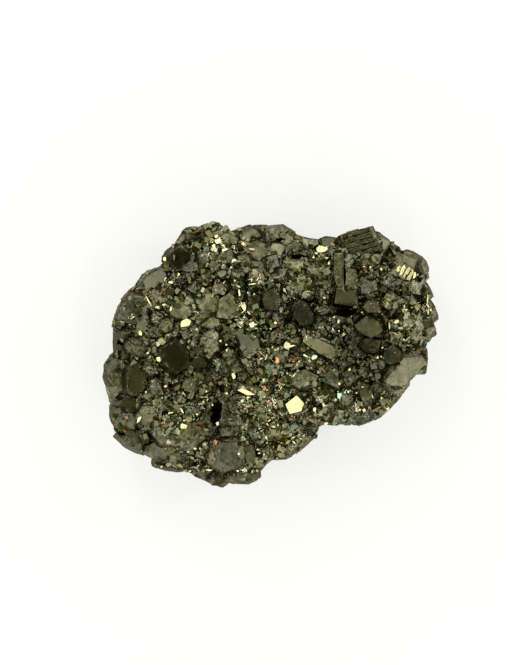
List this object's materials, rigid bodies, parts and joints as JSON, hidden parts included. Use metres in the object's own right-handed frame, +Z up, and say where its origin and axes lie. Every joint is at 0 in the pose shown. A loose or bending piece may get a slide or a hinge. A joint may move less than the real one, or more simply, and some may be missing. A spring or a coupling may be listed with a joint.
{
  "type": "pyrite cluster",
  "caption": "Pyrite cluster: flat-faced crystals grown into each other on a rounded mass, with a stepped crystal, ledges and cavities, lying on its flat side",
  "frame": {"origin": "under the middle of the specimen, on the surface it lies on", "axes": "+X along the specimen's length, towards the end with the long smooth ledge, and +Z up, out of its crystals"},
  "size_m": [0.0674, 0.0534, 0.0282],
  "materials": {
    "pyrite": "satin"
  },
  "bodies": {
    "root": {"pyrite_cluster": "pyrite"}
  },
  "joints": []
}
